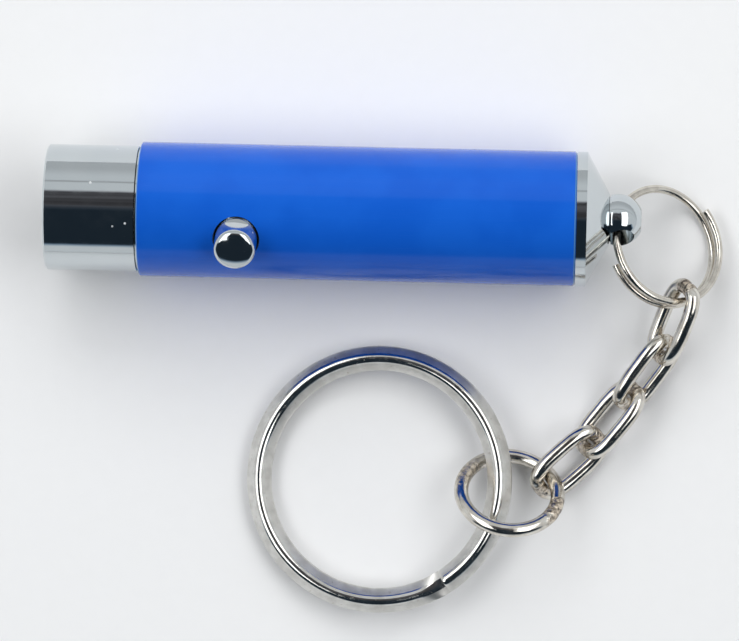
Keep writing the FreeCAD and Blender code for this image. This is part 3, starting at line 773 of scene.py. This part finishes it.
def lathe(name, profile, origin, axis, first):
    """A turned piece: a profile of (radius, height) in millimetres about an axis. First is square to it."""
    second = axis.cross(first)
    mesh = bmesh.new()
    rings = []
    for radius, height in profile:
        ring = []
        for step in range(LATHE_SIDES if radius else 1):
            turn = 2 * math.pi * step / LATHE_SIDES
            way = first * math.cos(turn) + second * math.sin(turn)
            ring.append(mesh.verts.new(origin + (way * radius + axis * height) * MM))
        rings.append(ring)
    for upper, lower in zip(rings, rings[1:]):
        for step in range(LATHE_SIDES):
            after = (step + 1) % LATHE_SIDES
            corners = [upper[step % len(upper)], lower[step % len(lower)]]
            corners += [lower[after % len(lower)], upper[after % len(upper)]]
            mesh.faces.new(list(dict.fromkeys(corners))).smooth = True
    return object_from(name, mesh)


def button_profile(top, bottom):
    """The button's (radius, height) from the middle of its dome to the middle of its underside."""
    stem, edge, slope = BUTTON_STEM_RADIUS, BUTTON_EDGE_RADIUS, math.radians(BUTTON_DOME_SLOPE)
    dome = (stem - edge) / math.sin(slope) + edge
    profile = [(0.0, top)]
    for step in range(1, DOME_STEPS + 1):
        turn = slope * step / DOME_STEPS
        profile.append((dome * math.sin(turn), top - dome * (1 - math.cos(turn))))
    hub = top - dome + (dome - edge) * math.cos(slope)
    for step in range(1, EDGE_STEPS + 1):
        turn = slope + (math.pi / 2 - slope) * step / EDGE_STEPS
        profile.append((stem - edge + edge * math.sin(turn), hub + edge * math.cos(turn)))
    profile.append((stem, bottom + FLANGE_HEIGHT))
    profile.append((FLANGE_RADIUS - FLANGE_BEVEL, bottom + FLANGE_HEIGHT - FLANGE_FALL))
    profile.append((FLANGE_RADIUS, bottom + FLANGE_HEIGHT - FLANGE_ROUNDING))
    profile.append((FLANGE_RADIUS, bottom + FLANGE_BEVEL))
    profile.append((FLANGE_RADIUS - FLANGE_BEVEL, bottom))
    profile.append((0.0, bottom))
    return profile


def make_button(finish):
    """The button: a low dome with a rolled edge on a straight stem, and the flange that keeps it in."""
    low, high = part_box("push_button")
    tilt = math.radians(BUTTON_TILT)
    up = Vector((0, -math.sin(tilt), math.cos(tilt)))
    centres, _, _ = node_faces("push_button")
    heights = centres @ np.array(up) / MM
    profile = button_profile(float(heights.max()) - BUTTON_BELOW_CAD_TOP, float(heights.min()))
    middle = Vector(((low.x + high.x) / 2, 0, 0))
    made = lathe("domed_button", profile, middle, up, Vector((1, 0, 0)))
    stand_in(made, "push_button", "button", finish)


# Floor, light and camera: lengths in metres, angles in degrees

FLOOR_HALF = 0.6
FLOOR_MIDDLE = (0.03, -0.015)
FLOOR_BELOW = 0.00002
BOX_DISTANCE = 0.42
BOX_TURN = 33
BOX_SHIFT = 0.08
BOX_SIZE = (0.20, 0.46)
BOX_WATTS = 0.62
WIDE_BOX_OFFSET = Vector((0.0, 0.42, 0.34))
WIDE_BOX_SIZE = (0.5, 0.22)
WIDE_BOX_WATTS = 0.9
CAMERA_STAND = Vector((0.04998, -0.00952, 0.481))
CAMERA_AIM = Vector((0.03063, -0.01003, 0.0))
CAMERA_ROLL = 1.371
CAMERA_SENSOR, CAMERA_LENS = 36.0, 248.66
CAMERA_NEAR, CAMERA_FAR = 0.01, 5.0
IMAGE_UP = Vector((0, 1, 0))


def make_floor():
    """A plain pale sheet that the object lies on."""
    half = FLOOR_HALF
    sheet = bpy.data.meshes.new("floor")
    corners = [(-half, -half, 0), (half, -half, 0), (half, half, 0), (-half, half, 0)]
    sheet.from_pydata(corners, [], [(0, 1, 2, 3)])
    floor = put_in_scene("floor", sheet)
    floor.location = (*FLOOR_MIDDLE, cad_box[0].z - FLOOR_BELOW)
    darker, lighter = (0.85, 0.85, 0.85, 1), (0.87, 0.87, 0.87, 1)
    made, tree, shader = material("pale_paper", Roughness=0.9)
    paper = grain(tree, place_in(tree), size=1.5, detail=4.0)
    wire_in(tree, shader, Base_Color=blend_colour(tree, paper, darker, lighter))
    sheet.materials.append(made)


def sky_angles(tree, way):
    """How far a way leans from straight up to the chain's side, and how far it points along the tube."""
    degrees = 180 / math.pi
    x, y, z = add(tree, "ShaderNodeSeparateXYZ", {0: way}).outputs
    lean = calc(tree, "ARCTAN2", calc(tree, "MULTIPLY", y, -1.0), z)
    side = calc(tree, "ABSOLUTE", calc(tree, "ARCSINE", x))
    return calc(tree, "MULTIPLY", lean, degrees), calc(tree, "MULTIPLY", side, degrees)


def tent_opening(tree, lean, ragged, side):
    """1 inside the tent's opening and 0 outside. It is longer on the chain's side. Angles in degrees."""
    near_edge, far_edge, end_edge = (-34, -26), (79, 70), (4, -6)
    widening, short_reach, long_reach = (22, 34), 24, 62
    opening = calc(tree, "MULTIPLY", spread(tree, ragged, *near_edge), spread(tree, lean, *far_edge))
    reach = spread(tree, lean, *widening, short_reach, long_reach)
    ends = spread(tree, calc(tree, "SUBTRACT", side, reach), *end_edge)
    return calc(tree, "MULTIPLY", opening, ends)


def make_world():
    """A soft grey tent with a dark opening above, longer and bluer towards the chain's side.

    Each span is an angle of lean, in degrees, over which one part of the tent passes into the next.
    """
    grey, violet, blue = (0.97, 1.0, 1.02, 1), (1.0, 0.97, 1.05, 1), (0.60, 0.95, 1.35, 1)
    darkest, dim, less_dim, low_tent, high_tent, seam_share = 0.026, 0.045, 0.11, 0.56, 0.72, 0.35
    chain_half, tent_rise, seam_start, seam_end = (-4, 8), (-78, -56), (-50, -48), (-45, -47)
    fold_span, ragged_by = (0.4, 0.65), 14.0
    world = bpy.data.worlds.new("tent")
    bpy.context.scene.world = world
    world.use_nodes = True
    tree = world.node_tree
    sky = tree.nodes["Background"]
    way = add(tree, "ShaderNodeTexCoord").outputs["Generated"]
    lean, side = sky_angles(tree, way)
    folds = add(tree, "ShaderNodeTexNoise", {"Vector": way, "Scale": 5.0, "Detail": 3.0}).outputs[0]
    ragged = calc(tree, "MULTIPLY", calc(tree, "SUBTRACT", folds, 0.5), ragged_by)
    ragged = calc(tree, "ADD", lean, ragged)
    opening = tent_opening(tree, lean, ragged, side)

    inner = spread(tree, ragged, *chain_half)
    glow = spread(tree, folds, *fold_span, dim, less_dim)
    deep = blend_value(tree, inner, glow, darkest)
    tint = blend_colour(tree, opening, grey, blend_colour(tree, inner, violet, blue))

    seam = calc(tree, "MULTIPLY", spread(tree, lean, *seam_start), spread(tree, lean, *seam_end))
    shade = calc(tree, "SUBTRACT", 1.0, calc(tree, "MULTIPLY", seam, seam_share))
    tent = calc(tree, "MULTIPLY", spread(tree, lean, *tent_rise, low_tent, high_tent), shade)
    level = blend_value(tree, opening, tent, deep)
    tree.links.new(level, sky.inputs["Strength"])
    tree.links.new(tint, sky.inputs["Color"])


def looking(place, aim, up):
    """The matrix of a lamp or camera at a place that looks at aim, with its Y axis towards up."""
    back = (place - aim).normalized()
    right = up.cross(back).normalized()
    return Matrix.Translation(place) @ Matrix((right, back.cross(right), back)).transposed().to_4x4()


def add_light(name, place, aim, size, watts):
    """A soft box whose size is (across, along Y)."""
    lamp = bpy.data.lights.new(name, "AREA")
    lamp.shape = "RECTANGLE"
    lamp.size, lamp.size_y = size
    lamp.energy = watts
    made = put_in_scene(name, lamp)
    made.matrix_world = looking(place, aim, IMAGE_UP)
    made.visible_camera = False
    return made


def make_lights():
    """Two broad boxes either side of the opening and one wide box from behind the tube."""
    middle = (cad_box[0] + cad_box[1]) / 2
    for name, turn in (("left_box", -BOX_TURN), ("right_box", BOX_TURN)):
        angle = math.radians(turn)
        place = middle + Vector((math.sin(angle), BOX_SHIFT, math.cos(angle))) * BOX_DISTANCE
        add_light(name, place, middle, BOX_SIZE, BOX_WATTS)
    wide = add_light("wide_box", middle + WIDE_BOX_OFFSET, middle, WIDE_BOX_SIZE, WIDE_BOX_WATTS)
    wide.visible_glossy = False


def make_camera():
    """Looks nearly straight down on the object, from a little towards the tail."""
    lens = bpy.data.cameras.new("camera")
    lens.sensor_width, lens.lens = CAMERA_SENSOR, CAMERA_LENS
    lens.clip_start, lens.clip_end = CAMERA_NEAR, CAMERA_FAR
    up = Matrix.Rotation(math.radians(CAMERA_ROLL), 3, "Z") @ IMAGE_UP
    made = put_in_scene("camera", lens)
    made.matrix_world = looking(CAMERA_STAND, CAMERA_AIM, up)
    bpy.context.scene.camera = made


make_camera()
make_world()
make_lights()
make_floor()
finishes = dress_nodes()
brazed_wire = make_brazed_wire()
for link_number in range(1, LINK_COUNT + 1):
    make_link(link_number, brazed_wire)
make_jump_ring(brazed_wire)
make_key_ring(finishes["key_ring"])
make_button(finishes["push_button"])
bpy.context.scene.view_settings.view_transform = "Standard"
